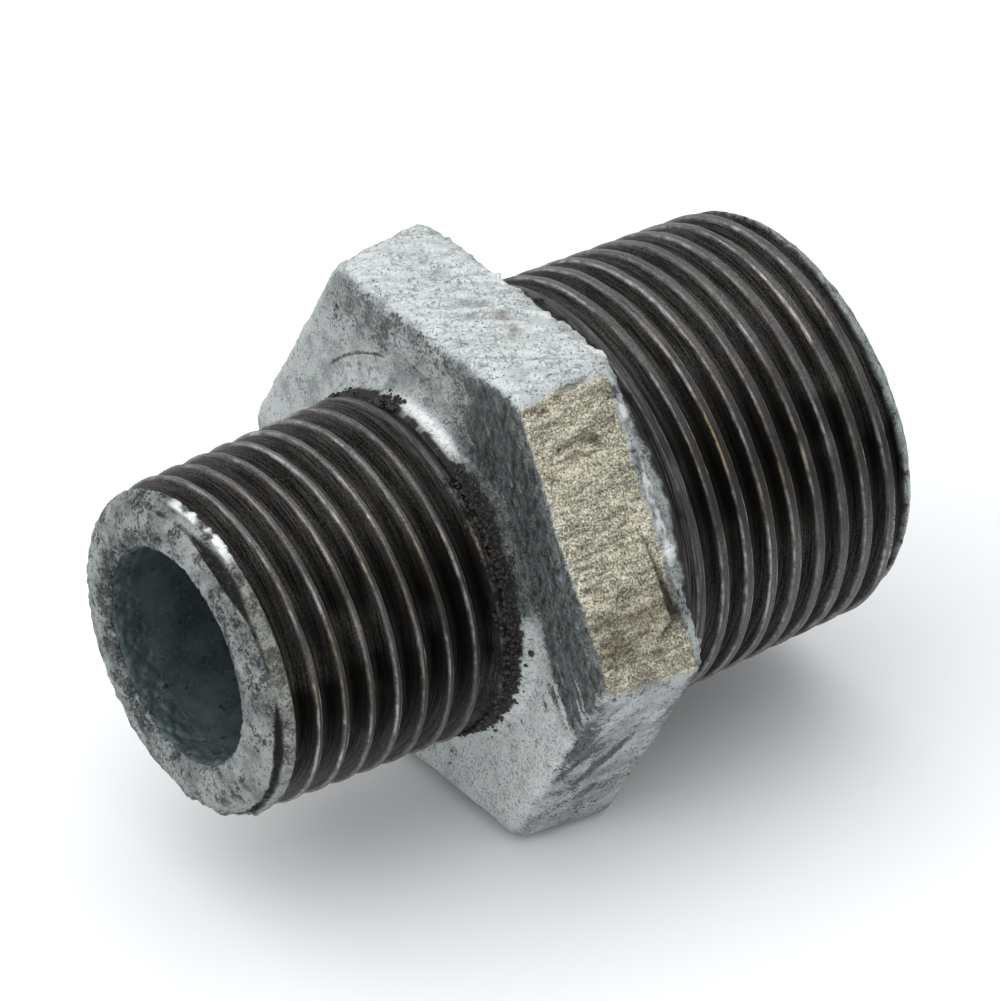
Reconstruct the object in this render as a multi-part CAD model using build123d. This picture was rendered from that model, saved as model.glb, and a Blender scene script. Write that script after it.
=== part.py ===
from build123d import *
from math import atan, cos, degrees, radians, tan
import os

# Pipe threads: 55 degree form, 14 turns to the inch at both ends, diameter growing 1 in 16
PITCH = 25.4 / 14
TAPER = 1 / 16
FLANK_ANGLE = 55.0
ROOT_FLAT = PITCH / 6
SMALL_GAUGE_DIAMETER = 20.955
SMALL_GAUGE_LENGTH = 8.2
SMALL_CREST_FLAT = PITCH / 6
LARGE_GAUGE_DIAMETER = 26.441
LARGE_GAUGE_LENGTH = 9.5
LARGE_CREST_FLAT = PITCH * 0.3

# Lengths along the axis
SMALL_LENGTH = 17.9
HEX_LENGTH = 7.0
LARGE_LENGTH = 20.5

# Cast hexagon, standing out from the large thread and widening towards the large end
HEX_STAND_OUT = 2.58
HEX_ACROSS_FLATS = LARGE_GAUGE_DIAMETER + 2 * HEX_STAND_OUT
HEX_DRAFT = 4.5
HEX_CORNER_RADIUS = 2.0
HEX_EDGE_RADIUS = 1.1

# Bore: straight in the small spigot, opening through a cone inside the large one
WALL = 3.92
SMALL_BORE = SMALL_GAUGE_DIAMETER - 2 * WALL
LARGE_BORE = LARGE_GAUGE_DIAMETER - 2 * WALL
SMALL_BORE_PAST_MIDDLE = 1.0
CONE_LENGTH = 8.0
BORE_EDGE = 0.5

# Lead-in bevel at each end, as length along the axis and depth below the crests
SMALL_LEAD = (1.0, 1.4)
LARGE_LEAD = (2.2, 1.4)

# Cast fillet between each spigot and the hexagon
SMALL_ROOT_FILLET = 1.3
LARGE_ROOT_FILLET = 0.6

# Thread cutting: start angles about the bore from +Z, turns outside the end, run-out at the shoulder
SMALL_START_ANGLE = -54.0
LARGE_START_ANGLE = -30.0
LEAD_TURNS = 1.0
RUNOUT_TURNS = 1.0
RUNOUT_LAP = 0.1
RUNOUT_LIFT = 0.03
SHOULDER_GAP = 0.1
CUTTER_CLEARANCE = 0.6
FLANK_OVERRUN = 0.05

SMALL_THREAD = {
    "gauge_diameter": SMALL_GAUGE_DIAMETER,
    "gauge_length": SMALL_GAUGE_LENGTH,
    "length": SMALL_LENGTH,
    "crest_flat": SMALL_CREST_FLAT,
    "lead": SMALL_LEAD,
    "root_fillet": SMALL_ROOT_FILLET,
    "start_angle": SMALL_START_ANGLE,
}
LARGE_THREAD = {
    "gauge_diameter": LARGE_GAUGE_DIAMETER,
    "gauge_length": LARGE_GAUGE_LENGTH,
    "length": LARGE_LENGTH,
    "crest_flat": LARGE_CREST_FLAT,
    "lead": LARGE_LEAD,
    "root_fillet": LARGE_ROOT_FILLET,
    "start_angle": LARGE_START_ANGLE,
}

# Stations on the axis, measured from the middle of the hexagon
HEX_FRONT = -HEX_LENGTH / 2
HEX_BACK = HEX_LENGTH / 2
SMALL_END = HEX_FRONT - SMALL_LENGTH
LARGE_END = HEX_BACK + LARGE_LENGTH


def crest_radius(thread, distance):
    """Crest radius of a taper thread at a distance from its own end."""
    return (thread["gauge_diameter"] + (distance - thread["gauge_length"]) * TAPER) / 2


def spigot_blank(thread):
    """Solid taper spigot along +Z: bevelled end at z = 0, fillet and shoulder at the top."""
    lead, drop = thread["lead"]
    length, root_fillet = thread["length"], thread["root_fillet"]
    neck = (crest_radius(thread, length - root_fillet), length - root_fillet)
    rim = (neck[0] + root_fillet, length)
    with BuildPart() as blank:
        with BuildSketch(Plane.XZ):
            with BuildLine():
                Polyline(neck, (crest_radius(thread, lead), lead),
                         (crest_radius(thread, 0) - drop, 0), (0, 0), (0, length), rim)
                RadiusArc(neck, rim, root_fillet)
            make_face()
        revolve(axis=Axis.Z)
    return blank.part


def groove_turn(section, root, start, height, cone_angle, turned):
    """Groove section carried along one stretch of conical helix, from a turned position."""
    path = Helix(PITCH, height, root, center=(0, 0, start), cone_angle=cone_angle)
    seat = Plane(origin=path @ 0, x_dir=(1, 0, 0), z_dir=path % 0)
    tool = sweep(seat * Polygon(*section, align=None), path=path, is_frenet=True)
    return tool.rotate(Axis.Z, turned)


def threaded_spigot(thread):
    """Spigot with its groove cut turn by turn, and lifted out of the metal at the shoulder."""
    spigot = spigot_blank(thread)
    flank = tan(radians(FLANK_ANGLE / 2))
    half_root, half_mouth = ROOT_FLAT / 2, (PITCH - thread["crest_flat"]) / 2
    depth = (half_mouth - half_root) / flank
    brink, top = depth + FLANK_OVERRUN, depth + CUTTER_CLEARANCE
    half_brink = half_mouth + FLANK_OVERRUN * flank
    section = [(0, -half_root), (brink, -half_brink), (top, -half_brink),
               (top, half_brink), (brink, half_brink), (0, half_root)]
    start = -LEAD_TURNS * PITCH
    runout = RUNOUT_TURNS * PITCH
    leave = thread["length"] - thread["root_fillet"] - SHOULDER_GAP - half_mouth - runout
    turns = round((leave - start) / PITCH)
    step = (leave - start) / turns
    taper = degrees(atan(TAPER / 2))
    for i in range(turns):
        z = start + i * step
        root = crest_radius(thread, z) - depth
        spigot -= groove_turn(section, root, z, step, taper, 360 * (z - start) / PITCH)
    z = leave - RUNOUT_LAP
    lifted = crest_radius(thread, z) - depth + RUNOUT_LIFT
    lift = degrees(atan((depth + RUNOUT_LIFT) / runout))
    spigot -= groove_turn(section, lifted, z, runout, lift, 360 * (z - start) / PITCH)
    return spigot.rotate(Axis.Z, thread["start_angle"])


def hexagon():
    """Cast hexagon with drafted flats and every corner and edge rounded."""
    front_plane = Plane(origin=(HEX_FRONT, 0, 0), x_dir=(0, 1, 0), z_dir=(1, 0, 0))
    with BuildPart() as nut:
        with BuildSketch(front_plane):
            RegularPolygon(HEX_ACROSS_FLATS / 2, 6, major_radius=False)
        extrude(amount=HEX_LENGTH)
        flats = nut.faces().filter_by(Axis.X, reverse=True)
        draft(flats, neutral_plane=front_plane, angle=-HEX_DRAFT)
        corners = [e for e in nut.edges() if abs(e.tangent_at(0.5).X) > cos(radians(45))]
        fillet(corners, HEX_CORNER_RADIUS)
        fillet(nut.faces().filter_by(Axis.X).edges(), HEX_EDGE_RADIUS)
    return nut.part


def bore():
    """Stepped bore: straight, cone, straight, with a bevelled edge at each mouth."""
    small_r, large_r = SMALL_BORE / 2, LARGE_BORE / 2
    outline = [
        (SMALL_END, 0),
        (SMALL_END, small_r + BORE_EDGE),
        (SMALL_END + BORE_EDGE, small_r),
        (SMALL_BORE_PAST_MIDDLE, small_r),
        (SMALL_BORE_PAST_MIDDLE + CONE_LENGTH, large_r),
        (LARGE_END - BORE_EDGE, large_r),
        (LARGE_END, large_r + BORE_EDGE),
        (LARGE_END, 0),
    ]
    return revolve(Plane.XZ * Polygon(*outline, align=None), axis=Axis.X)


def nipple():
    """The whole casting: hexagon, a threaded spigot on each side of it, and the through bore."""
    small_seat = Plane(origin=(SMALL_END, 0, 0), x_dir=(0, 0, 1), z_dir=(1, 0, 0))
    large_seat = Plane(origin=(LARGE_END, 0, 0), x_dir=(0, 0, 1), z_dir=(-1, 0, 0))
    casting = hexagon()
    casting += small_seat * threaded_spigot(SMALL_THREAD)
    casting += large_seat * threaded_spigot(LARGE_THREAD)
    casting -= bore()
    casting.label = "reducing_nipple"
    return casting


os.makedirs("parts", exist_ok=True)
export_step(nipple(), "parts/reducing_nipple.step")
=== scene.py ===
import math
import random

import bmesh
import bpy
import numpy as np
from mathutils import Matrix, Vector


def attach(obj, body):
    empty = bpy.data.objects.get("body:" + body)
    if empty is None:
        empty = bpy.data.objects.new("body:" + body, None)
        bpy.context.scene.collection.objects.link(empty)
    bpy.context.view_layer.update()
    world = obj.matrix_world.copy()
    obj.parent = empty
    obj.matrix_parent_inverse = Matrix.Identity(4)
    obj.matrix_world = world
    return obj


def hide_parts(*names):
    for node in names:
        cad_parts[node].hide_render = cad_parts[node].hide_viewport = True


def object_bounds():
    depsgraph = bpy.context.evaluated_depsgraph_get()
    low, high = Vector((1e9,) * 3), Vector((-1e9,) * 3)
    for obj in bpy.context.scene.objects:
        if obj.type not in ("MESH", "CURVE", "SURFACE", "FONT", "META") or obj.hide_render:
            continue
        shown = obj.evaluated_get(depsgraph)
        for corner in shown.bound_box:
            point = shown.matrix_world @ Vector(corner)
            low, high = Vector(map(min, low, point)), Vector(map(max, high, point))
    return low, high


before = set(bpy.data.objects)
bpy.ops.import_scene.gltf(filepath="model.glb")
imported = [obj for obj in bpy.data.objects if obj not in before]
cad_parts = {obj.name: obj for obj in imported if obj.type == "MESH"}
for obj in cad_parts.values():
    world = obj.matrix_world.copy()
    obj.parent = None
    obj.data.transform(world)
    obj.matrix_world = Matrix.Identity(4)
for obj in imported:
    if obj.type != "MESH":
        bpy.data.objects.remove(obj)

MM = 0.001
CAD_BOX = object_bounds()
LOW, HIGH = (np.array(corner) / MM for corner in CAD_BOX)

# Sizes in millimetres, the same as the CAD solid's
PITCH = 25.4 / 14
TAPER = 1 / 16
FLANK = math.tan(math.radians(27.5))
SMALL_LENGTH, LARGE_LENGTH = 17.9, 20.5
SMALL_END = LOW[0]
LARGE_END = HIGH[0]
HEX_FRONT = SMALL_END + SMALL_LENGTH
HEX_BACK = LARGE_END - LARGE_LENGTH
HEX_APOTHEM = 15.8
HEX_GROWTH = math.tan(math.radians(4.5))
HEX_EDGE, BACK_EDGE, HEX_CORNER = 1.1, 0.7, 2.0
ROOT_FILLET, BACK_FILLET = 1.3, 2.4
SMALL_BORE_R, LARGE_BORE_R = 6.55, 9.3
CONE_START, CONE_END = 1.0, 9.0
OUTER_COLUMNS, HEX_COLUMNS, BORE_COLUMNS = 512, 720, 320
SMALL_NECK, LARGE_NECK = HEX_FRONT - ROOT_FILLET, HEX_BACK + BACK_FILLET
FLAT_DOWN = np.array([0, -0.5, -0.866])  # down the brassy flat, which faces up and towards -Y


# ---------------------------------------------------------------- noise and masks

def lattice(ix, iy, iz, seed):
    """Repeatable pseudo-random number in -1..1 for each integer lattice point."""
    h = (ix * 374761393 + iy * 668265263 + iz * 2147483647 + seed * 144665) & 0xFFFFFFFF
    h = ((h ^ (h >> 13)) * 1274126177) & 0xFFFFFFFF
    h = ((h ^ (h >> 16)) * 2246822519) & 0xFFFFFFFF
    return ((h ^ (h >> 15)) & 0xFFFF) / 32767.5 - 1.0


def noise(p, size, seed):
    """Smooth value noise over points p (..., 3) with features of the given size."""
    q = p / size
    cell = np.floor(q).astype(np.int64)
    f = q - cell
    f = f * f * (3 - 2 * f)
    total = np.zeros(p.shape[:-1])
    for corner in range(8):
        dx, dy, dz = corner & 1, corner >> 1 & 1, corner >> 2 & 1
        weight = np.where(dx, f[..., 0], 1 - f[..., 0])
        weight = weight * np.where(dy, f[..., 1], 1 - f[..., 1])
        weight = weight * np.where(dz, f[..., 2], 1 - f[..., 2])
        total += weight * lattice(cell[..., 0] + dx, cell[..., 1] + dy, cell[..., 2] + dz, seed)
    return total


def fractal(p, size, seed, octaves=4, gain=0.5):
    """Noise summed over octaves, each half the size of the one before."""
    total, amplitude = np.zeros(p.shape[:-1]), 1.0
    for octave in range(octaves):
        total += amplitude * noise(p, size / 2 ** octave, seed + 17 * octave)
        amplitude *= gain
    return total


def smooth(a, b, v):
    """0 below a, 1 above b, eased between."""
    t = np.clip((v - a) / (b - a), 0, 1)
    return t * t * (3 - 2 * t)


def between(v, low, high, soft):
    """1 from low to high, falling to 0 over a soft edge."""
    return smooth(low - soft, low + soft, v) * (1 - smooth(high - soft, high + soft, v))


def within(angle, low, high, soft):
    """1 between two angles in degrees, from +Z towards -Y, with soft ends."""
    away = np.abs((angle - (low + high) / 2 + 180) % 360 - 180)
    half = (high - low) / 2
    return 1 - smooth(half - soft, half + soft, away)


def spot(points, x, angle, r, size):
    """1 at a place on the surface, 0 a given size away from it."""
    turn = math.radians(angle)
    centre = np.array([x, -r * math.sin(turn), r * math.cos(turn)])
    return 1 - smooth(0, size, np.linalg.norm(points - centre, axis=-1))


# ---------------------------------------------------------------- surfaces swept round the axis

class Skin:
    """A grid of points round the bore axis: rows run along the section, columns round it."""

    def __init__(self, x, r, columns):
        self.turn = np.linspace(0, 2 * math.pi, columns, endpoint=False)
        self.angle = np.degrees(self.turn)
        shape = (len(x), columns)
        self.x = np.broadcast_to(x if x.ndim == 2 else x[:, None], shape).copy()
        self.r = np.broadcast_to(r if r.ndim == 2 else r[:, None], shape).copy()
        self.layers = {}

    def points(self):
        y, z = -self.r * np.sin(self.turn), self.r * np.cos(self.turn)
        return np.stack([self.x, y, z], axis=-1)

    def normals(self):
        p = self.points()
        along = np.gradient(p, axis=0)
        across = np.roll(p, -1, axis=1) - np.roll(p, 1, axis=1)
        n = np.cross(across, along)
        return n / np.maximum(np.linalg.norm(n, axis=-1, keepdims=True), 1e-9)

    def build(self, name, height, material):
        """Push the grid along its normals by a height in mm and make the mesh object."""
        p = np.clip(self.points() + self.normals() * height[..., None], LOW, HIGH)
        rows, columns = self.x.shape
        i = np.arange(rows - 1)[:, None] * columns
        j = np.arange(columns)[None, :]
        k = (j + 1) % columns
        quads = np.stack([i + j, i + k, i + columns + k, i + columns + j], axis=-1)
        count = (rows - 1) * columns
        mesh = bpy.data.meshes.new(name)
        mesh.vertices.add(rows * columns)
        mesh.vertices.foreach_set("co", (p * MM).reshape(-1).astype(np.float32))
        mesh.loops.add(count * 4)
        mesh.loops.foreach_set("vertex_index", quads.reshape(-1).astype(np.int32))
        mesh.polygons.add(count)
        mesh.polygons.foreach_set("loop_start", np.arange(0, count * 4, 4, dtype=np.int32))
        mesh.update(calc_edges=True)
        mesh.validate()
        mesh.polygons.foreach_set("use_smooth", np.ones(count, dtype=bool))
        for layer, values in self.layers.items():
            made = mesh.attributes.new(layer, "FLOAT", "POINT")
            made.data.foreach_set("value", np.clip(values, 0, 1).reshape(-1).astype(np.float32))
        return place(name, mesh, material)


def place(name, mesh, material):
    """Link a mesh as a piece of the nipple's own surface."""
    piece = bpy.data.objects.new(name, mesh)
    bpy.context.scene.collection.objects.link(piece)
    mesh.materials.append(material)
    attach(piece, "root")
    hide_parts("reducing_nipple")
    return piece


def section(corners, spacing):
    """Points along a polyline of (x, r) corners, at most a spacing apart."""
    xs, rs = [], []
    for (x0, r0), (x1, r1) in zip(corners, corners[1:]):
        steps = max(1, math.ceil(math.hypot(x1 - x0, r1 - r0) / spacing))
        t = np.arange(steps) / steps
        xs.extend(x0 + (x1 - x0) * t)
        rs.extend(r0 + (r1 - r0) * t)
    return np.array(xs + [corners[-1][0]]), np.array(rs + [corners[-1][1]])


def arc(cx, cr, radius, start, end, steps=7):
    """Corners of an arc in the (x, r) section, angles in degrees from +x towards +r."""
    angles = np.radians(np.linspace(start, end, steps))
    return [(cx + radius * math.cos(a), cr + radius * math.sin(a)) for a in angles]


# ---------------------------------------------------------------- threads

class Thread:
    """A taper pipe thread: where its crests run and how deep its grooves are."""

    def __init__(self, gauge_diameter, gauge_length, end, inward, crest_at, crest_flat):
        self.gauge_diameter, self.gauge_length = gauge_diameter, gauge_length
        self.end, self.inward = end, inward
        self.crest_at, self.crest_flat = crest_at, crest_flat
        self.depth = (PITCH - crest_flat - PITCH / 6) / 2 / FLANK

    def crest(self, x):
        distance = (x - self.end) * self.inward
        return (self.gauge_diameter + (distance - self.gauge_length) * TAPER) / 2

    def turns(self, x, turn):
        """Turns along the helix from the crest marked by crest_at, 0 on that crest."""
        round_once = (turn + math.pi / 2) % (2 * math.pi) - math.pi / 2
        return (x - self.crest_at) / PITCH - (round_once / (2 * math.pi) - 0.25)

    def bite(self, x, turn):
        """How deep the groove is below the crests, 0 to 1, with rounded crests and roots."""
        phase = self.turns(x, turn)
        off = np.abs(phase - np.round(phase))
        flat = self.crest_flat / PITCH / 2
        t = (off - flat) / (0.5 - 1 / 12 - flat)
        soft = 0.09
        low = np.where(t < soft, np.maximum(t + soft, 0) ** 2 / (4 * soft), t)
        return np.where(t > 1 - soft, 1 - np.maximum(1 + soft - t, 0) ** 2 / (4 * soft), low)

    def scratches(self, p, seed):
        """Cutting marks round the thread and torn metal along its crests, in mm."""
        ringed = p * np.array([1, 0.06, 0.06])
        torn = p * np.array([1, 0.4, 0.4])
        turn = np.arctan2(-p[..., 1], p[..., 2])
        phase = self.turns(p[..., 0], turn)
        off = np.abs(phase - np.round(phase))
        crest = 1 - smooth(0.06, 0.24, off)
        marks = fractal(ringed, 0.3, seed, 3) * 0.012
        tears = np.minimum(fractal(torn, 0.45, seed + 4, 3), 0.2) * 0.022
        return marks + tears * crest - 0.012


SMALL = Thread(20.955, 8.2, SMALL_END, 1, SMALL_END + 3.45, PITCH * 0.15)
LARGE = Thread(26.441, 9.5, LARGE_END, -1, SMALL_END + 30.33, PITCH * 0.28)


def small_section():
    """Section (x, r) of the half-inch spigot, from inside its mouth to the root."""
    mouth = [(2.6, SMALL_BORE_R), (0.85, SMALL_BORE_R), (0.55, SMALL_BORE_R + 0.05),
             (0.40, SMALL_BORE_R + 0.1), (0.22, SMALL_BORE_R + 0.3), (0.07, SMALL_BORE_R + 0.75)]
    brow = [(0.0, 7.9), (0.05, 8.45), (0.16, 8.92), (0.34, 9.36), (0.58, 9.7), (0.95, 10.02), (1.45, 10.24)]
    head = section([(SMALL_END + dx, r) for dx, r in mouth + brow[:5]], 0.12)
    body = section([(SMALL_END + dx, r) for dx, r in brow[4:]]
                   + [(SMALL_NECK + 0.25, SMALL.crest(SMALL_NECK + 0.25))], PITCH / 17)
    return np.concatenate([head[0], body[0][1:]]), np.concatenate([head[1], body[1][1:]])


def cut_small_thread(skin):
    """Cut the groove; returns its depth, the turns along it and where it only leads in."""
    angle = skin.angle
    turns = SMALL.turns(skin.x, skin.turn)
    washout = 1 - 0.8 * smooth(SMALL_NECK - 1.9, SMALL_NECK - 0.1, skin.x)
    wobble = fractal(np.stack([angle, angle, angle], -1), 9, 30)
    started = (0.09 + 0.34 * within(angle, 16, 42, 10) + 0.17 * within(angle, 84, 150, 10)
               - 0.09 * within(angle, 178, 345, 8) + 0.04 * wobble)
    outside = (skin.r > 8.6) & (skin.x > SMALL_END + 0.05)
    cut = SMALL.crest(skin.x) - SMALL.depth * SMALL.bite(skin.x, skin.turn) * washout
    bitten = np.where(outside, np.maximum(skin.r - cut, 0), 0)
    lead_in = turns < -1
    spare = np.maximum(np.where(lead_in, bitten, 0).max(axis=0) - started, 0)
    bitten = np.maximum(bitten - lead_in * spare, 0)
    skin.r = skin.r - bitten
    return bitten, turns, lead_in


def small_zinc(skin, p, turns, bitten):
    """Mark the zinc on the end ring and the first crest; returns its lumps, veins and cracked parts."""
    angle, along = skin.angle, skin.x - SMALL_END
    ragged = fractal(p, 1.0, 31)
    coated = 1 - smooth(-0.66, -0.56, turns + 0.07 * ragged)
    in_groove = smooth(0.04, 0.14, bitten + 0.03 * ragged)
    skin.layers["zinc"] = coated * (1 - in_groove)
    skin.layers["bore"] = (1 - smooth(6.66, 6.76, skin.r + 0.05 * ragged)) * smooth(0.1, 0.3, along)
    soiled = within(angle, 185, 345, 25) * (1 - smooth(7.2, 8.4, skin.r)) + 0.5 * within(angle, 25, 95, 18)
    lumpy = fractal(p, 0.7, 44, 4)
    veins = 1 - smooth(0.0, 0.10, np.abs(fractal(p, 1.3, 46, 3)))
    cracked = 0.5 * within(angle, -70, 50, 20) + 0.5 * within(angle, 150, 300, 30)
    skin.layers["shade"] = 0.28 + 0.28 * soiled + 0.28 * lumpy + 0.62 * veins * cracked
    skin.layers["dull"] = np.full_like(skin.x, 0.72)
    chips = within(angle, -6, 26, 4) * between(turns, -1.16, -0.72, 0.05)
    skin.layers["bright"] = chips * smooth(-0.25, 0.1, fractal(p, 0.9, 61, 3))
    skin.layers["gold"] = 0.16 * within(angle, 30, 100, 18) * between(turns, -1.5, -0.7, 0.08)
    return lumpy, veins, cracked


def small_iron(skin, p, bitten, lead_in):
    """Mark run-out, and the painted highlights and painted side shade of the cut iron; returns the dirt
    packed at its root.
    """
    angle = skin.angle
    near_root = smooth(SMALL_NECK - 1.7, SMALL_NECK - 0.9, skin.x)
    skin.layers["runout"] = 0.8 * near_root * within(angle, -100, 30, 10)
    dirt_from = SMALL_NECK - 0.75 + 0.6 * within(angle, -100, 24, 10)
    dirt = smooth(dirt_from - 0.25, dirt_from + 0.25, skin.x + 0.35 * fractal(p, 0.7, 33))
    skin.layers["dirt"] = np.maximum(dirt, lead_in * smooth(0.05, 0.2, bitten))
    # Gold colour and fading of the painted crest highlights, and painted shade on the mid side of the thread.
    skin.layers["highlight_gold"] = within(angle, 45, 85, 22) * smooth(-0.2, 0.5, fractal(p, 2.5, 35, 2))
    skin.layers["highlight_fade"] = smooth(-0.5, 0.7, fractal(p * np.array([1, 0.5, 0.5]), 2.2, 36, 3))
    skin.layers["side_shade"] = within(angle, 42, 108, 22) * smooth(-0.9, 0.1, fractal(p, 3.0, 37, 2))
    return dirt


def small_spigot(material):
    """The half-inch thread with the rough cast ring at its open end."""
    skin = Skin(*small_section(), OUTER_COLUMNS)
    bitten, turns, lead_in = cut_small_thread(skin)
    p = skin.points()
    lumpy, veins, cracked = small_zinc(skin, p, turns, bitten)
    dirt = small_iron(skin, p, bitten, lead_in)
    zinc = skin.layers["zinc"]
    cast = lumpy * 0.075 + fractal(p, 0.3, 45, 3) * 0.05 - 0.08 - 0.09 * veins * cracked
    height = SMALL.scratches(p, 5) * (1 - zinc) + cast * zinc
    height += dirt * (fractal(p, 0.45, 77) * 0.12 + 0.05)
    height += skin.layers["bright"] * 0.12
    burrs = within(skin.angle, 135, 195, 14) * between(skin.x - SMALL_END, 0.5, 1.6, 0.2)
    height += burrs * np.maximum(fractal(p, 0.8, 52, 3), 0) * 0.22
    height *= smooth(0, 3, np.arange(len(skin.x)))[:, None]
    return skin.build("small_spigot", height, material)


def large_section():
    """Section (x, r) of the three-quarter-inch spigot, root to mouth, and how many rows are outside."""
    lead = [(2.1, LARGE.crest(LARGE_END - 2.1)), (1.5, 12.78), (0.9, 12.42), (0.4, 11.95),
            (0.12, 11.5), (0.0, 11.0)]
    lip = arc(LARGE_END - 0.6, LARGE_BORE_R + 0.6, 0.6, 0, -90)
    body = section([(LARGE_NECK - 0.3, LARGE.crest(LARGE_NECK - 0.3))]
                   + [(LARGE_END - dx, r) for dx, r in lead[:3]], PITCH / 16)
    tail = section([(LARGE_END - dx, r) for dx, r in lead[2:]] + lip
                   + [(LARGE_END - 2.5, LARGE_BORE_R)], 0.16)
    x = np.concatenate([body[0], tail[0][1:]])
    r = np.concatenate([body[1], tail[1][1:]])
    return x, r, len(body[0]) + 4


def cut_large_thread(skin, outer_rows):
    """Make the open end a little uneven and cut the groove; returns the groove's depth."""
    angle = skin.angle
    uneven = 0.28 * within(angle, 62, 108, 22) - 0.18 * within(angle, 0, 40, 20)
    skin.r += uneven * between(skin.x, LARGE_END - 1.3, LARGE_END + 1, 0.3) * smooth(9.9, 10.8, skin.r)
    washout = 0.15 + 0.85 * smooth(LARGE_NECK - 0.4, LARGE_NECK + 3.4, skin.x)
    cut = LARGE.crest(skin.x) - LARGE.depth * washout * LARGE.bite(skin.x, skin.turn)
    outside = np.arange(len(skin.x))[:, None] < outer_rows
    bitten = np.where(outside, np.maximum(skin.r - cut, 0), 0)
    skin.r = skin.r - bitten
    return bitten


def large_layers(skin, p, bitten):
    """Mark the zinc end rim, the mouth, dirt and run-out, and the painted highlights and painted side shade
    of the cut iron.
    """
    angle = skin.angle
    ragged = fractal(p, 1.0, 41)
    rim_from = LARGE_END - 1.45 - 0.75 * within(angle, 45, 115, 15)
    rim = smooth(rim_from - 0.15, rim_from + 0.15, skin.x + 0.25 * ragged)
    skin.layers["zinc"] = rim * (1 - smooth(0.2, 0.45, bitten + 0.08 * ragged))
    rows = len(skin.x)
    inside = (np.arange(rows) > rows - 14)[:, None]
    skin.layers["bore"] = inside * (1 - smooth(9.35, 9.7, skin.r + 0.07 * ragged))
    skin.layers["shade"] = 0.30 + 0.25 * ragged
    skin.layers["dull"] = np.full_like(skin.x, 0.3)
    grime = within(angle, -180, 10, 30) * 0.4 + 0.9
    packed = 1 - smooth(LARGE_NECK, LARGE_NECK + 0.6, skin.x + 0.4 * fractal(p, 0.8, 43))
    skin.layers["dirt"] = packed * grime
    # Gold colour and fading of the painted crest highlights, and painted shade on the mid side of the thread.
    skin.layers["highlight_gold"] = within(angle, 30, 75, 25) * smooth(-0.1, 0.6, fractal(p, 2.5, 47, 2))
    skin.layers["highlight_fade"] = smooth(-0.5, 0.7, fractal(p * np.array([1, 0.5, 0.5]), 2.4, 48, 3))
    skin.layers["side_shade"] = within(angle, 38, 88, 22) * smooth(-0.9, 0.1, fractal(p, 3.0, 50, 2))
    skin.layers["runout"] = 1 - smooth(LARGE_NECK + 0.1, LARGE_NECK + 2.4, skin.x)


def large_spigot(material):
    """The three-quarter-inch thread with its bevelled open end."""
    x, r, outer_rows = large_section()
    skin = Skin(x, r, OUTER_COLUMNS)
    bitten = cut_large_thread(skin, outer_rows)
    p = skin.points()
    large_layers(skin, p, bitten)
    cast = fractal(p, 0.7, 42, 4) * 0.045 - 0.045
    zinc = skin.layers["zinc"]
    height = LARGE.scratches(p, 15) * (1 - zinc) + cast * zinc
    ridges = np.abs(noise(p * np.array([1, 0.03, 0.03]), 0.30, 49)) * 0.08 - 0.04
    height += skin.layers["runout"] * ridges * (1 - zinc)
    height += skin.layers["dirt"] * (fractal(p, 0.45, 78) * 0.1 + 0.02)
    height *= smooth(0, 3, np.arange(len(x)))[::-1][:, None]
    return skin.build("large_spigot", height, material)


# ---------------------------------------------------------------- hexagon

def hexagon_radius(turn, apothem, corner):
    """Distance from the axis to a hexagon with rounded corners, flats facing +Z."""
    sixth = math.pi / 3
    local = np.abs((turn + sixth / 2) % sixth - sixth / 2)
    centre = (apothem - corner) / math.cos(sixth / 2)
    start = np.arctan2((apothem - corner) * math.tan(sixth / 2), apothem)
    off = sixth / 2 - local
    inside = np.maximum(corner ** 2 - (centre * np.sin(off)) ** 2, 0)
    rounded = centre * np.cos(off) + np.sqrt(inside)
    return np.where(local < start, apothem / np.cos(local), rounded)


def hexagon_section(turn):
    """Rows (x, r) from the front root fillet over the flats to the back root fillet."""
    front, back, edge = HEX_FRONT, HEX_BACK, HEX_EDGE
    xs, rs = [], []

    def row(x, r):
        xs.append(np.full_like(turn, x))
        rs.append(np.broadcast_to(r, turn.shape))

    def outline(x, inset):
        return hexagon_radius(turn, HEX_APOTHEM + HEX_GROWTH * (x - front) - inset, HEX_CORNER)

    neck_r = SMALL.crest(SMALL_NECK)
    foot = neck_r + ROOT_FILLET
    row(front - ROOT_FILLET - 0.3, neck_r - 0.3)
    for a in np.radians(np.linspace(0, 90, 16)):
        row(front - ROOT_FILLET + ROOT_FILLET * math.sin(a), foot - ROOT_FILLET * math.cos(a))
    rim = outline(front, edge)
    for t in np.linspace(0, 1, 42)[1:]:
        row(front, foot + (rim - foot) * t)
    for a in np.radians(np.linspace(0, 90, 14))[1:]:
        x = front + edge * (1 - math.cos(a))
        row(x, outline(x, edge * (1 - math.sin(a))))
    for x in np.linspace(front + edge, back - BACK_EDGE, 46)[1:]:
        row(x, outline(x, 0))
    for a in np.radians(np.linspace(90, 0, 12))[1:]:
        x = back - BACK_EDGE * (1 - math.cos(a))
        row(x, outline(x, BACK_EDGE * (1 - math.sin(a))))
    rim = outline(back, BACK_EDGE)
    foot = LARGE.crest(back + BACK_FILLET) + BACK_FILLET
    for t in np.linspace(0, 1, 10)[1:]:
        row(back, rim + (foot - rim) * t)
    for a in np.radians(np.linspace(90, 0, 24))[1:]:
        row(back + BACK_FILLET - BACK_FILLET * math.sin(a), foot - BACK_FILLET * math.cos(a))
    row(back + BACK_FILLET + 0.3, foot - BACK_FILLET - 0.3)
    return np.array(xs), np.array(rs)


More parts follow.
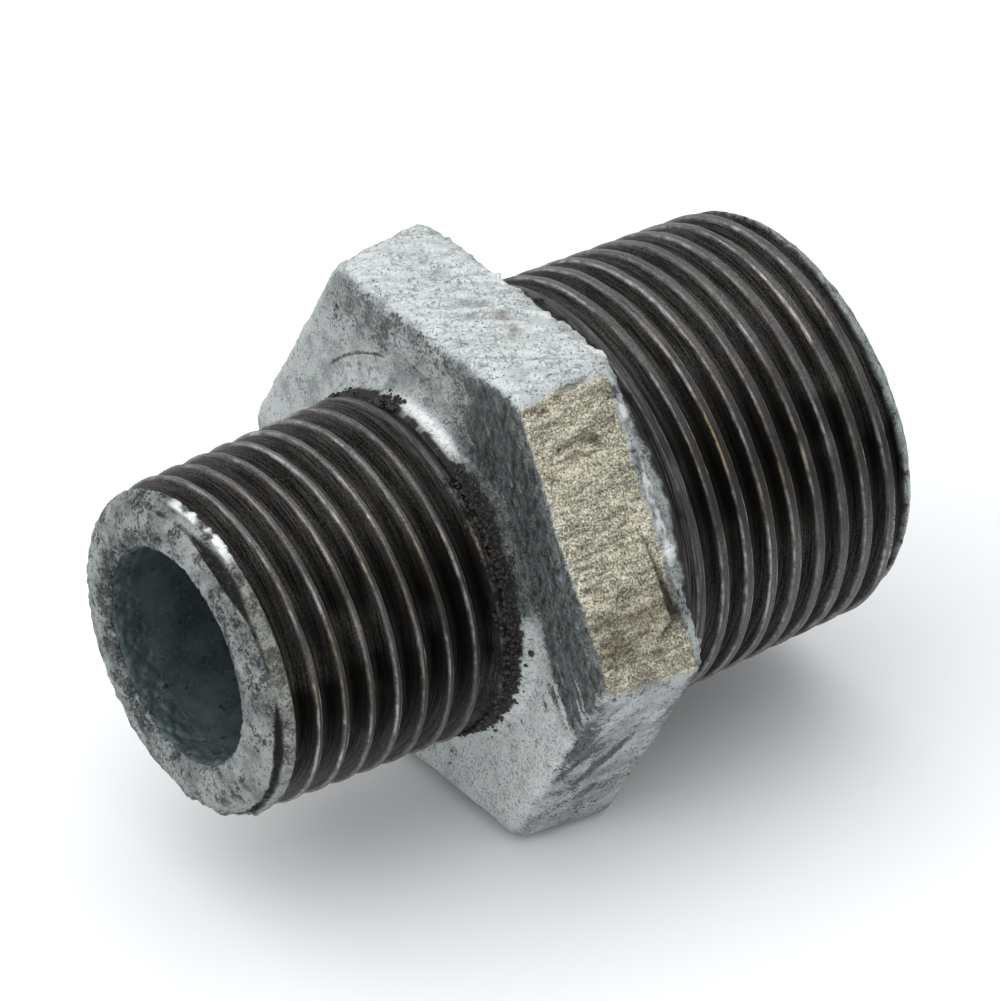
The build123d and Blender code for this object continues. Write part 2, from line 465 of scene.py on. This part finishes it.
def forging_step(p):
    """Depth of the narrow wedge-shaped gap, and of its toe, in the brassy flat."""
    down = p @ FLAT_DOWN
    top, foot = np.array([1.9, 0.8]), np.array([2.75, 6.1])
    edge = (foot - top) / np.linalg.norm(foot - top)
    along = (p[..., 0] - top[0]) * edge[0] + (down - top[1]) * edge[1]
    off = (p[..., 0] - top[0]) * edge[1] - (down - top[1]) * edge[0] + 0.05 * noise(p, 0.6, 29)
    grown = np.clip(along / 5.37, 0, 1)
    wedge = between(along, 0.1, 5.3, 0.12) * between(off, -0.06 - 0.62 * grown ** 1.5, 0.02, 0.05)
    toe = between(along + 0.35 * off, 5.15, 5.42, 0.07) * between(off, -1.7, 0.0, 0.1)
    return np.maximum(wedge * (0.4 + 0.6 * grown), 0.55 * toe)


def top_wrinkles(skin, p, side):
    """Zinc wrinkles, longest on the top flat, in mm; also paints shade in their valleys and highlights on
    their ridges.
    """
    angle = skin.angle
    u = p @ np.array([0.81, -0.59, 0]) * 0.20
    v = p @ np.array([0.59, 0.81, 0.3])
    wavy = np.stack([u, v, p[..., 2] * 0.3], axis=-1)
    wavy = wavy + 0.12 * np.stack([noise(p, 1.2, 71), noise(p, 1.2, 72), noise(p, 1.2, 73)], axis=-1)
    wrinkles = np.abs(fractal(wavy, 0.40, 74, 3))
    top = within(angle, -30, 30, 1) + 0.6 * within(angle, 150, 330, 2)
    # Painted shade in the wrinkle valleys.
    skin.layers["crease"] = (1 - smooth(0.0, 0.13, wrinkles)) * top * side
    upper = within(angle, -30, 30, 2) * (skin.x > HEX_FRONT + 0.3)
    # Painted highlight on the wrinkle ridges of the top flat.
    skin.layers["painted_light"] = smooth(0.10, 0.38, wrinkles) * upper
    return (np.minimum(wrinkles, 0.8) * 0.34 - 0.13) * top * side


def worn_flat(skin, p, side):
    """Scored grain and the wedge-shaped gap of the brassy flat, in mm; adds painted shade along the score
    grooves to the painted shade of the hollows.
    """
    striped = p * np.array([0.22, 1, 1]) + 0.15 * noise(p, 2.0, 75)[..., None]
    upper = 0.30 + 0.95 * within(skin.angle, 26, 52, 12)
    streaked = fractal(striped, 0.5, 76, 3)
    stripes = streaked * 0.11 * upper + fractal(p, 0.27, 79, 2) * 0.06
    flat_sixty = within(skin.angle, 31, 90, 1.5) * side
    # Painted shade in the score grooves of the upper brassy flat.
    skin.layers["crease"] += 2.2 * smooth(0.15, 0.6, -streaked) * upper * flat_sixty
    return (stripes - 0.02) * flat_sixty - forging_step(p) * 0.42 * flat_sixty


def hexagon_relief(skin, p):
    """Cast and dipped roughness of the hexagon, in mm, mostly inwards."""
    angle = skin.angle
    side = between(skin.x, HEX_FRONT + 0.35, HEX_BACK - 0.6, 0.35)
    relief = fractal(p, 4.5, 11, 3) * 0.05 + fractal(p, 1.1, 12, 3) * 0.02 + fractal(p, 0.35, 13, 2) * 0.026
    relief += top_wrinkles(skin, p, side)
    relief += worn_flat(skin, p, side)
    relief += fractal(p, 0.8, 80, 3) * 0.03 * within(angle, 91, 149, 2) * side
    lips = between(skin.x, HEX_BACK - 0.45, HEX_BACK + 0.6, 0.25) * within(angle, -25, 95, 8)
    relief += lips * (np.maximum(fractal(p, 0.6, 81, 3), 0) * 0.30 + 0.05)
    for x, turn, r, size, depth in PITS:
        relief -= spot(p, x, turn, r, size) * depth
    return relief - 0.05


# Pits and nicks on the hexagon: x, angle, radius, size and depth
PITS = [(HEX_FRONT, -34, 15.5, 0.45, 0.30), (HEX_FRONT, -36, 15.0, 0.35, 0.18),
        (HEX_FRONT, -64, 15.1, 0.35, 0.15), (HEX_FRONT, 108, 12.7, 0.4, 0.30),
        (HEX_FRONT, 97, 13.6, 0.35, 0.2), (HEX_FRONT, 122, 13.2, 0.3, 0.2),
        (2.3, -19, 16.9, 0.5, 0.20), (2.6, -16, 16.7, 0.35, 0.16), (2.0, -14, 16.5, 0.3, 0.15),
        (3.2, 77, 16.9, 0.45, 0.3), (-1.5, 41, 16.9, 0.4, 0.16), (-2.2, 118, 15.9, 0.35, 0.2),
        (HEX_BACK, 210, 14.9, 0.6, 0.3), (1.0, 222, 17.0, 0.6, 0.25), (HEX_FRONT, 262, 14.0, 0.5, 0.25)]


def hexagon(material):
    """The wrench hexagon between the spigots, with the fillets at both its roots."""
    turn = np.linspace(0, 2 * math.pi, HEX_COLUMNS, endpoint=False)
    skin = Skin(*hexagon_section(turn), HEX_COLUMNS)
    p = skin.points()
    height = hexagon_relief(skin, p)
    last = len(skin.x) - 1
    ends = smooth(0, 5, np.arange(last + 1)) * smooth(0, 3, last - np.arange(last + 1))
    height *= ends[:, None]
    hexagon_layers(skin, p, fractal(p, 0.9, 21))
    return skin.build("hexagon", height, material)


def hexagon_layers(skin, p, ragged):
    """Mark what is smeared, rubbed, bared to brass, torn bright, dull, dirty or stained, with painted light
    on the lower front face and painted shadow along the step.
    """
    front, back, angle = HEX_FRONT, HEX_BACK, skin.angle
    face = 1 - smooth(front + 0.05, front + 0.55, skin.x)
    bevel = smooth(back - 0.75, back - 0.55, skin.x + 0.12 * ragged)
    patch = within(angle, -47, -19, 3) * between(skin.r, 10.6, 12.5, 0.12) * face
    streaks = shoulder_streaks(p)
    smear, shoulder = shoulder_shade(skin, ragged, streaks)
    outline = within(angle, -47, -17, 3) * between(skin.r, 12.55, 12.7, 0.08) * face
    shoulder += 0.62 * outline - 0.26 * patch
    flats = flat_shade(skin, p, bevel)
    skin.layers["shade"] = face * shoulder + (1 - face) * flats + 0.16 * ragged * (1 - 0.6 * face * smear)
    gold_x = between(skin.x + 0.16 * ragged, front + 0.40, back - 0.80, 0.07)
    skin.layers["gold"] = within(angle + 0.8 * ragged, 31.5, 90.5, 0.7) * gold_x
    polished = 1.0 * within(angle, -8, 25, 8) * between(skin.x, front - 1.15, front - 0.45, 0.25)
    skin.layers["bright"] = np.maximum(polished, 0.8 * lip_chips(skin, p))
    skin.layers["rubbed"] = 1.0 * patch + 0.45 * face * smear * smooth(0.2, 0.8, streaks)
    # Only the upper front face is dulled, so its lower part is painted lighter where less light reaches it.
    upper_face = 0.22 * within(angle, -90, 75, 25) * (1 - patch)
    skin.layers["dull"] = face * upper_face + (1 - face) * (0.10 * within(angle, 91, 150, 3) + 0.30 * bevel
                                                            + 0.2 * within(angle, 150, 330, 5))
    # Painted light: highlights on the top flat's wrinkle ridges, and the lower front face lightened where
    # less light reaches it.
    skin.layers["painted_light"] = (1 - face) * skin.layers["painted_light"] + face * within(angle, 100, 200, 15)
    # The dirt layer here also carries the painted shadow along the step in the brassy flat.
    skin.layers["dirt"] = hexagon_soot_and_shadow(skin, p)
    skin.layers["rust"] = brown_marks(p)


def shoulder_streaks(p):
    """Streaks that run down the front face, parallel to the brassy flat."""
    edge_wise = p @ FLAT_DOWN * 0.14
    return fractal(np.stack([p[..., 0], p @ np.array([0, -0.866, 0.5]), edge_wise], axis=-1), 0.5, 22, 3)


def shoulder_shade(skin, ragged, streaks):
    """Where the front face is smeared dark, and how dark each part of it is."""
    angle = skin.angle
    speckled = within(angle, -36, 24, 14) * (0.35 + 0.65 * smooth(12.5, 16.0, skin.r))
    pale_strip = within(angle, 79, 99, 4) * (1 - smooth(12.0, 12.7, skin.r + 0.3 * ragged))
    smear = within(angle, 21, 88, 8) * (1 - pale_strip)
    tail = within(angle, 84, 104, 8) * smooth(12.3, 13.6, skin.r)
    return smear, 0.15 + 0.36 * speckled + smear * (0.80 + 0.36 * streaks) + 0.62 * tail * (0.7 + streaks)


def flat_shade(skin, p, bevel):
    """How dark each part of the wrench flats is."""
    angle = skin.angle
    flats = 0.10 + 0.20 * within(angle, 90, 150, 2) + 0.12 * fractal(p, 2.2, 23, 3)
    diagonal = p @ np.array([0.75, -0.33, -0.57])
    smears = fractal(np.stack([diagonal, p[..., 0] * 0.25, p[..., 2] * 0.2], axis=-1), 0.9, 24, 3)
    # Painted shade of the wrinkle valleys and score grooves darkens the flats here.
    flats += within(angle, 92, 148, 3) * smooth(0.0, 1.1, smears) * 0.42 + 0.26 * skin.layers["crease"]
    flats += 0.20 * bevel * within(angle, 30, 92, 3) - 0.10 * within(angle, -30, 30, 2) * (1 - bevel)
    flats += 0.55 * within(angle, 72, 92, 9) * (1 - bevel) * within(angle, 31, 90.5, 0.5)
    return flats


def lip_chips(skin, p):
    """Torn white zinc along the back edge of the upper flats."""
    edge = between(skin.x, HEX_BACK - 0.60, HEX_BACK + 0.30, 0.12)
    return edge * within(skin.angle, -20, 75, 8) * smooth(-0.1, 0.3, fractal(p, 0.9, 25, 3))


def hexagon_soot_and_shadow(skin, p):
    """Black cutting dirt packed round both roots and in the pits, and painted shadow along the step of the
    wedge-shaped gap.
    """
    angle = skin.angle
    reach = (0.05 + 0.48 * within(angle, 28, 140, 9) + 0.18 * within(angle, 150, 354, 12)
             + 0.16 * within(angle, -12, -3, 4))
    along = (skin.x - SMALL_NECK) / ROOT_FILLET
    along = np.where(skin.x < HEX_FRONT - 0.001, along, 1.0)
    front = 1 - smooth(-0.06, 0.06, along - reach + 0.17 * fractal(p, 0.6, 26))
    packed = 0.84 + 0.05 * within(angle, 28, 100, 15) - 0.06 * within(angle, -20, 20, 10)
    back = smooth(packed - 0.06, packed + 0.06, (skin.x - HEX_BACK) / BACK_FILLET + 0.09 * ragged_once(p))
    pits = np.zeros_like(skin.x)
    for x, turn, r, size, depth in PITS:
        pits = np.maximum(pits, spot(p, x, turn, r, size * 0.8) * min(1, depth * 4))
    # Painted shadow along the step of the wedge-shaped gap in the brassy flat.
    step_shadow = forging_step(p) * 0.9 * within(angle, 55, 90, 3)
    return np.maximum.reduce([front, back, step_shadow, smooth(0.3, 0.6, pits + 0.15 * ragged_once(p))])


def ragged_once(p):
    """The fine unevenness shared by the edges of the dirt."""
    return fractal(p, 0.7, 27)


def brown_marks(p):
    """Faint brown stain on the top flat and a small one on the step."""
    stain = spot(p, 1.1, 6, 16.3, 1.0) + spot(p, 0.7, 12, 16.6, 1.0) + spot(p, 0.1, 18, 17.0, 1.0)
    return np.minimum(stain, 1) * smooth(-0.3, 0.4, fractal(p, 0.8, 28, 3)) * 0.8


def bore(material):
    """The wall inside: small bore, cone and large bore."""
    start = [(LARGE_END - 2.3, LARGE_BORE_R), (CONE_END, LARGE_BORE_R), (CONE_START, SMALL_BORE_R),
             (SMALL_END + 2.3, SMALL_BORE_R)]
    x, r = section(start, 0.3)
    skin = Skin(x, r, BORE_COLUMNS)
    p = skin.points()
    height = fractal(p, 2.5, 51, 4) * 0.04 + fractal(p, 0.5, 53, 2) * 0.012
    rows = np.arange(len(x))
    height *= (smooth(0, 3, rows) * smooth(0, 3, rows[::-1]))[:, None]
    skin.layers["bore"] = np.ones_like(skin.x)
    return skin.build("bore_wall", height, material)


# ---------------------------------------------------------------- loose cutting dirt

def crumbs(material):
    """Small lumps of cutting dirt and swarf stuck in the root of the small thread."""
    chance = random.Random(7)
    made = bmesh.new()
    spread = [(28, 145, 760), (-13, -3, 60), (150, 340, 70)]
    for low, high, count in spread:
        for _ in range(count):
            turn = math.radians(chance.uniform(low, high))
            size = chance.uniform(0.04, 0.19)
            x = SMALL_NECK + chance.gauss(0.06, 0.36)
            climb = max(0.0, (x - HEX_FRONT + ROOT_FILLET) / ROOT_FILLET)
            rise = ROOT_FILLET * (1 - math.sqrt(max(0, 1 - climb ** 2)))
            r = SMALL.crest(SMALL_NECK) - 0.05 + rise
            spin = Matrix.Rotation(chance.uniform(0, 6.3), 4, (chance.random(), chance.random(), 1))
            wide, tall = chance.uniform(0.5, 1.6), chance.uniform(0.5, 1.2)
            shape = Matrix.Diagonal((size, size * wide, size * tall, 1))
            middle = Vector((x, -r * math.sin(turn), r * math.cos(turn)))
            lump = bmesh.ops.create_icosphere(made, subdivisions=2, radius=1.0)
            for vert in lump["verts"]:
                vert.co *= chance.uniform(0.55, 1.3)
                vert.co = (middle + spin @ (shape @ vert.co)) * MM
    mesh = bpy.data.meshes.new("root_crumbs")
    made.to_mesh(mesh)
    made.free()
    return place("root_crumbs", mesh, material)


# ---------------------------------------------------------------- materials

class Graph:
    """A short way to write a node tree."""

    def __init__(self, name):
        self.material = bpy.data.materials.new(name)
        self.material.use_nodes = True
        self.tree = self.material.node_tree
        self.shader = self.tree.nodes["Principled BSDF"]
        self.place = self.add("ShaderNodeTexCoord").outputs["Object"]

    def add(self, kind, **settings):
        node = self.tree.nodes.new(kind)
        for key, value in settings.items():
            setattr(node, key, value)
        return node

    def feed(self, socket, value):
        if isinstance(value, bpy.types.NodeSocket):
            self.tree.links.new(value, socket)
        elif isinstance(value, tuple) and len(value) == 3 and socket.type == "RGBA":
            socket.default_value = (*value, 1.0)
        else:
            socket.default_value = value

    def math(self, operation, a, b=0.0, clamp=False):
        node = self.add("ShaderNodeMath", operation=operation, use_clamp=clamp)
        self.feed(node.inputs[0], a)
        self.feed(node.inputs[1], b)
        return node.outputs[0]

    def total(self, *terms):
        """Weighted sum: each term is a (weight, value) pair."""
        result = 0.0
        for weight, value in terms:
            result = self.math("ADD", self.math("MULTIPLY", value, weight), result)
        return result

    def layer(self, name):
        return self.add("ShaderNodeAttribute", attribute_name=name).outputs["Fac"]

    def noise(self, size, detail=3.0, rough=0.5, place=None):
        node = self.add("ShaderNodeTexNoise")
        self.feed(node.inputs["Vector"], self.place if place is None else place)
        node.inputs["Scale"].default_value = 1 / (size * MM)
        node.inputs["Detail"].default_value = detail
        node.inputs["Roughness"].default_value = rough
        return node.outputs[0]

    def cells(self, size, feature="F1"):
        node = self.add("ShaderNodeTexVoronoi", feature=feature)
        self.feed(node.inputs["Vector"], self.place)
        node.inputs["Scale"].default_value = 1 / (size * MM)
        return node.outputs["Distance"]

    def stretch(self, scale):
        node = self.add("ShaderNodeMapping")
        self.feed(node.inputs["Vector"], self.place)
        node.inputs["Scale"].default_value = scale
        return node.outputs[0]

    def span(self, value, low, high, to_low=0.0, to_high=1.0):
        node = self.add("ShaderNodeMapRange", clamp=True)
        self.feed(node.inputs["Value"], value)
        for socket, number in zip(("From Min", "From Max", "To Min", "To Max"), (low, high, to_low, to_high)):
            self.feed(node.inputs[socket], number)
        return node.outputs["Result"]

    def mix(self, fac, a, b, **settings):
        node = self.add("ShaderNodeMix", data_type="RGBA", **settings)
        for index, value in zip((0, 6, 7), (fac, a, b)):
            self.feed(node.inputs[index], value)
        return node.outputs[2]

    def blend(self, fac, a, b):
        node = self.add("ShaderNodeMix", data_type="FLOAT")
        for index, value in zip((0, 2, 3), (fac, a, b)):
            self.feed(node.inputs[index], value)
        return node.outputs[0]

    def finish(self, colour, rough, metal, height, depth):
        self.feed(self.shader.inputs["Base Color"], colour)
        self.feed(self.shader.inputs["Roughness"], rough)
        self.feed(self.shader.inputs["Metallic"], metal)
        bump = self.add("ShaderNodeBump")
        bump.inputs["Distance"].default_value = depth * MM
        self.feed(bump.inputs["Height"], height)
        self.tree.links.new(bump.outputs["Normal"], self.shader.inputs["Normal"])
        return self.material


ZINC_DARK, ZINC_MID, ZINC_PALE = (0.11, 0.122, 0.120), (0.27, 0.295, 0.29), (0.50, 0.53, 0.52)
# Pale zinc colour used for painted light
ZINC_PAINTED_LIGHT = (0.68, 0.71, 0.70)
SOOT = (0.006, 0.0055, 0.005)
DULLING = (0.42, 0.42, 0.415)
SMEAR_DARK, SMEAR_PALE = (0.020, 0.022, 0.022), (0.13, 0.145, 0.145)


def zinc_finish(g):
    """Colour, roughness, metallic and height of dull, speckled hot-dip zinc, with painted light where it is
    marked.
    """
    cloud = g.noise(2.4, 4, 0.6)
    patch = g.noise(0.7, 5, 0.65)
    grain = g.noise(0.2, 3, 0.7)
    shade = g.layer("shade")
    tone = g.total((0.35, cloud), (0.35, patch), (0.30, grain))
    colour = g.mix(g.span(tone, 0.44, 0.51), ZINC_MID, ZINC_PALE)
    # Painted light: highlights on wrinkle ridges and the lower front face lightened, towards pale zinc.
    colour = g.mix(g.math("MULTIPLY", g.layer("painted_light"), g.span(grain, 0.38, 0.56)), colour, ZINC_PAINTED_LIGHT)
    murk = g.total((1.0, shade), (1.7, g.math("SUBTRACT", grain, 0.5)), (0.8, g.math("SUBTRACT", patch, 0.5)))
    colour = g.mix(g.span(murk, 0.26, 0.54), colour, ZINC_DARK)
    smeared = g.noise(0.2, 4, 0.75, g.stretch((1, 0.45, 0.22)))
    smudge = g.mix(g.span(smeared, 0.40, 0.62), SMEAR_DARK, SMEAR_PALE)
    colour = g.mix(g.span(murk, 0.52, 0.80), colour, smudge)
    reach = g.total((0.14, shade), (0.60, g.math("SUBTRACT", g.noise(0.9, 3, 0.6), 0.42)))
    specks = g.span(g.math("SUBTRACT", g.cells(0.21), reach), 0.05, 0.12, 1.0, 0.0)
    specks = g.math("MULTIPLY", specks, g.span(shade, 0.9, 1.1, 0.8, 0.3))
    colour = g.mix(specks, colour, (0.02, 0.021, 0.021))
    darkened = g.mix(1.0, colour, DULLING, blend_type="MULTIPLY")
    colour = g.mix(g.layer("dull"), colour, darkened)
    bright = g.math("MULTIPLY", g.layer("bright"), g.span(grain, 0.30, 0.46))
    colour = g.mix(bright, colour, (0.80, 0.82, 0.81))
    rough = g.blend(bright, g.span(patch, 0.35, 0.65, 0.42, 0.60), 0.38)
    height = g.total((1.0, grain), (0.6, patch), (-0.9, specks))
    return colour, rough, 0.35, height


def gold_finish(g):
    """Colour and height of the grainy, brassy-grey flat."""
    striped = g.noise(0.34, 4, 0.65, g.stretch((0.22, 1, 1)))
    grain = g.noise(0.13, 4, 0.8)
    broad = g.noise(1.8, 3, 0.6)
    tone = g.total((0.26, striped), (0.66, grain), (0.08, broad))
    colour = g.mix(g.span(tone, 0.42, 0.49), (0.105, 0.098, 0.072), (0.36, 0.34, 0.255))
    colour = g.mix(g.span(tone, 0.49, 0.57), colour, (0.95, 0.89, 0.70))
    # Darker where the shade layer is high; on the brassy flat this includes painted shade in the score
    # grooves.
    darkened = g.mix(1.0, colour, (0.42, 0.40, 0.37), blend_type="MULTIPLY")
    colour = g.mix(g.span(g.layer("shade"), 0.35, 0.85), colour, darkened)
    return colour, g.total((1.0, grain), (0.9, striped))


def bore_colour(g):
    """Bluish, stained zinc inside the bore."""
    cloud = g.noise(1.8, 5, 0.55)
    colour = g.mix(g.span(cloud, 0.36, 0.64), (0.050, 0.070, 0.074), (0.095, 0.122, 0.126))
    fleck = g.span(g.noise(0.16, 3, 0.7), 0.56, 0.68)
    colour = g.mix(g.math("MULTIPLY", fleck, 0.5), colour, (0.20, 0.24, 0.245))
    spots = g.span(g.noise(0.55, 3, 0.6), 0.63, 0.68)
    return g.mix(g.math("MULTIPLY", spots, 0.8), colour, (0.012, 0.012, 0.012))


def hexagon_material():
    """Zinc, the brassy flat, the rubbed patch, brown stains, packed dirt and the painted shadow along the
    step.
    """
    g = Graph("zinc_hexagon")
    colour, rough, metal, height = zinc_finish(g)
    rubbed = g.layer("rubbed")
    polish = g.mix(g.span(g.noise(0.12, 2, 0.6, g.stretch((1, 0.2, 0.2))), 0.4, 0.6), (0.12, 0.125, 0.125),
                   (0.42, 0.44, 0.43))
    colour = g.mix(g.math("MULTIPLY", rubbed, g.span(g.noise(0.3, 3, 0.6), 0.4, 0.6)), colour, polish)
    rough = g.blend(rubbed, rough, 0.3)
    gold = g.layer("gold")
    gold_tone, gold_height = gold_finish(g)
    colour = g.mix(gold, colour, gold_tone)
    rough = g.blend(gold, rough, 0.36)
    metal = g.blend(gold, metal, 0.55)
    height = g.blend(gold, height, gold_height)
    colour = g.mix(g.math("MULTIPLY", g.layer("rust"), 0.95), colour, (0.19, 0.155, 0.13))
    # Dirt colour, which also paints the shadow along the step in the brassy flat.
    dirt = g.layer("dirt")
    colour = g.mix(dirt, colour, SOOT)
    rough = g.blend(dirt, rough, 0.7)
    return g.finish(colour, rough, g.blend(dirt, metal, 0.0), height, 0.13)


def crest_line(g, phase, at, width):
    """1 on a thin line at a phase across the thread, 0 a width away from it."""
    away = g.math("ABSOLUTE", g.math("SUBTRACT", phase, at))
    return g.span(away, 0.0, width, 1.0, 0.0)


def thread_phase(g, thread):
    """Phase across the thread, 0 on a crest and 0.5 in a root, from the object coordinates."""
    axes = g.add("ShaderNodeSeparateXYZ")
    g.feed(axes.inputs[0], g.place)
    x, y, z = axes.outputs
    turn = g.math("ARCTAN2", g.math("MULTIPLY", y, -1.0), z)
    lead = g.math("DIVIDE", g.math("SUBTRACT", x, thread.crest_at * MM), PITCH * MM)
    phase = g.math("SUBTRACT", lead, g.math("SUBTRACT", g.math("DIVIDE", turn, 2 * math.pi), 0.25))
    return g.math("SUBTRACT", g.math("FRACT", g.math("ADD", phase, 0.5)), 0.5)


def iron_finish(g, thread):
    """Freshly cut iron: fine rings, painted shade in the grooves and on one side, and painted highlights in
    broken lines along the crests.
    """
    phase = thread_phase(g, thread)
    ringed = g.stretch((1, 0.014, 0.014))
    marks = g.noise(0.06, 3, 0.75, ringed)
    bands = g.noise(0.22, 3, 0.6, ringed)
    torn = g.noise(0.25, 4, 0.7, g.stretch((1, 0.35, 0.35)))
    patch = g.noise(1.3, 4, 0.6)
    wander = g.total((0.05, g.math("SUBTRACT", torn, 0.5)), (0.08, g.math("SUBTRACT", bands, 0.5)))
    moved = g.math("ADD", phase, wander)
    half = thread.crest_flat / PITCH / 2
    away = g.math("ABSOLUTE", moved)
    crest = g.span(away, half - 0.01, half + 0.07, 1.0, 0.0)
    # Painted highlights: thin bright lines along both edges of each crest.
    front = g.math("MULTIPLY", crest_line(g, moved, -half, 0.05), g.span(patch, 0.38, 0.58, 0.12, 0.70))
    back = g.math("MULTIPLY", crest_line(g, moved, half, 0.045), g.span(patch, 0.60, 0.42, 0.05, 0.6))
    lines = g.math("MAXIMUM", front, back)
    lines = g.math("MULTIPLY", lines, g.span(g.layer("highlight_fade"), 0.0, 1.0, 0.2, 1.0))
    lines = g.math("MULTIPLY", lines, g.span(torn, 0.36, 0.54, 0.35, 1.0))
    lines = g.math("MULTIPLY", lines, g.span(g.layer("runout"), 0.2, 0.9, 1.0, 0.25))
    speck = g.math("ADD", g.math("MULTIPLY", marks, 0.55), g.math("MULTIPLY", g.noise(0.12, 3, 0.7), 0.45))
    # The groove colour, darker than the crest colour, is painted shade in the grooves.
    groove = g.mix(g.span(speck, 0.44, 0.62), (0.007, 0.0062, 0.0055), (0.092, 0.086, 0.078))
    # Painted shade on the mid side of the thread, standing in for dark reflections, in the grooves and on the
    # crests.
    groove = g.mix(g.layer("side_shade"), groove, (0.004, 0.0034, 0.0026))
    top = g.mix(g.span(speck, 0.38, 0.62), (0.020, 0.019, 0.017), (0.215, 0.205, 0.195))
    top = g.mix(g.math("MULTIPLY", g.layer("side_shade"), 0.75), top, (0.018, 0.015, 0.012))
    colour = g.mix(g.math("MULTIPLY", crest, 0.8), groove, top)
    scored = g.mix(g.span(marks, 0.46, 0.64), (0.006, 0.0055, 0.005), (0.13, 0.125, 0.118))
    colour = g.mix(g.math("MULTIPLY", g.layer("runout"), 0.7), colour, scored)
    # Colour of the painted crest highlights, gold in part.
    highlight_colour = g.mix(g.layer("highlight_gold"), (0.66, 0.63, 0.615), (0.66, 0.52, 0.28))
    colour = g.mix(lines, colour, highlight_colour)
    rough = g.span(marks, 0.35, 0.65, 0.34, 0.52)
    metal = g.span(lines, 0.0, 1.0, 0.35, 0.9)
    return colour, rough, metal, g.total((1.0, marks), (0.6, bands), (0.3, torn))


def thread_material(name, thread):
    """Cut iron with zinc left on the ends, and bore and dirt where they are marked."""
    g = Graph(name)
    colour, rough, metal, height = zinc_finish(g)
    colour = g.mix(g.layer("gold"), colour, gold_finish(g)[0])
    iron, iron_rough, iron_metal, iron_height = iron_finish(g, thread)
    zinc = g.layer("zinc")
    colour = g.mix(zinc, iron, colour)
    rough = g.blend(zinc, iron_rough, rough)
    metal = g.blend(zinc, iron_metal, metal)
    height = g.blend(zinc, iron_height, g.math("MULTIPLY", height, 3.0))
    inside = g.layer("bore")
    colour = g.mix(inside, colour, bore_colour(g))
    height = g.blend(inside, height, 0.5)
    dirt = g.math("MULTIPLY", g.layer("dirt"), g.span(g.noise(0.3, 4, 0.7), 0.36, 0.48))
    colour = g.mix(dirt, colour, SOOT)
    rough = g.blend(dirt, rough, 0.7)
    metal = g.blend(dirt, metal, 0.0)
    g.shader.inputs["Specular IOR Level"].default_value = 0.16
    return g.finish(colour, rough, metal, height, 0.035)


def bore_material():
    """Stained zinc of the bore wall."""
    g = Graph("zinc_bore")
    fine = g.noise(0.2, 3, 0.6)
    return g.finish(bore_colour(g), g.span(fine, 0.3, 0.7, 0.40, 0.55), 0.3, fine, 0.03)


def crumb_material():
    """Black, grainy cutting dirt."""
    g = Graph("cutting_dirt")
    grain = g.noise(0.08, 4, 0.7)
    colour = g.mix(g.span(grain, 0.45, 0.65), (0.008, 0.007, 0.006), (0.09, 0.08, 0.068))
    return g.finish(colour, g.span(grain, 0.3, 0.7, 0.45, 0.75), 0.2, grain, 0.03)


# ---------------------------------------------------------------- floor, light, camera

def studio():
    """A pale sky all round and a plain pale floor under the part."""
    world = bpy.data.worlds.new("studio")
    bpy.context.scene.world = world
    world.use_nodes = True
    world.node_tree.nodes["Background"].inputs["Color"].default_value = (0.93, 0.96, 1.0, 1)
    world.node_tree.nodes["Background"].inputs["Strength"].default_value = 0.70
    half = 1.6
    corners = [(-half, -half, 0), (half, -half, 0), (half, half, 0), (-half, half, 0)]
    mesh = bpy.data.meshes.new("floor")
    mesh.from_pydata(corners, [], [(0, 1, 2, 3)])
    floor = bpy.data.objects.new("floor", mesh)
    bpy.context.scene.collection.objects.link(floor)
    floor.location.z = CAD_BOX[0][2]
    g = Graph("floor")
    shade = g.mix(g.noise(40, 3, 0.5), (0.90, 0.90, 0.90), (0.93, 0.93, 0.93))
    mesh.materials.append(g.finish(shade, 0.6, 0.0, g.noise(1.0, 3, 0.5), 0.01))


def lamp(name, location, size, power):
    """A soft square light aimed at the object."""
    light = bpy.data.lights.new(name, "AREA")
    light.size = size
    light.energy = power
    holder = bpy.data.objects.new(name, light)
    holder.location = location
    holder.rotation_euler = (-Vector(location)).to_track_quat("-Z", "Y").to_euler()
    bpy.context.scene.collection.objects.link(holder)


def lights():
    """A big key light overhead and a weaker one from the small end."""
    lamp("key_top", (-0.15, 0.10, 0.75), 1.5, 7.6)
    lamp("left_box", (-0.75, 0.05, 0.30), 0.6, 1.6)


def camera():
    """Aim the camera at a point near the hexagon, with the picture's slight roll."""
    lens = bpy.data.cameras.new("camera")
    lens.sensor_fit = "HORIZONTAL"
    lens.sensor_width = 36
    lens.lens = 305
    lens.clip_start, lens.clip_end = 0.01, 10
    holder = bpy.data.objects.new("camera", lens)
    place_at = Vector((-240.284, -336.163, 284.993)) * MM
    target = Vector((0, -3.043, 4.187)) * MM
    roll = Matrix.Rotation(math.radians(-0.197), 3, "Z")
    aim = (target - place_at).to_track_quat("-Z", "Y").to_matrix() @ roll
    holder.location = place_at
    holder.rotation_euler = aim.to_euler()
    bpy.context.scene.collection.objects.link(holder)
    bpy.context.scene.camera = holder


camera()
lights()
studio()
small_spigot(thread_material("cut_thread_small", SMALL))
large_spigot(thread_material("cut_thread_large", LARGE))
hexagon(hexagon_material())
bore(bore_material())
crumbs(crumb_material())
bpy.context.scene.view_settings.view_transform = "Standard"
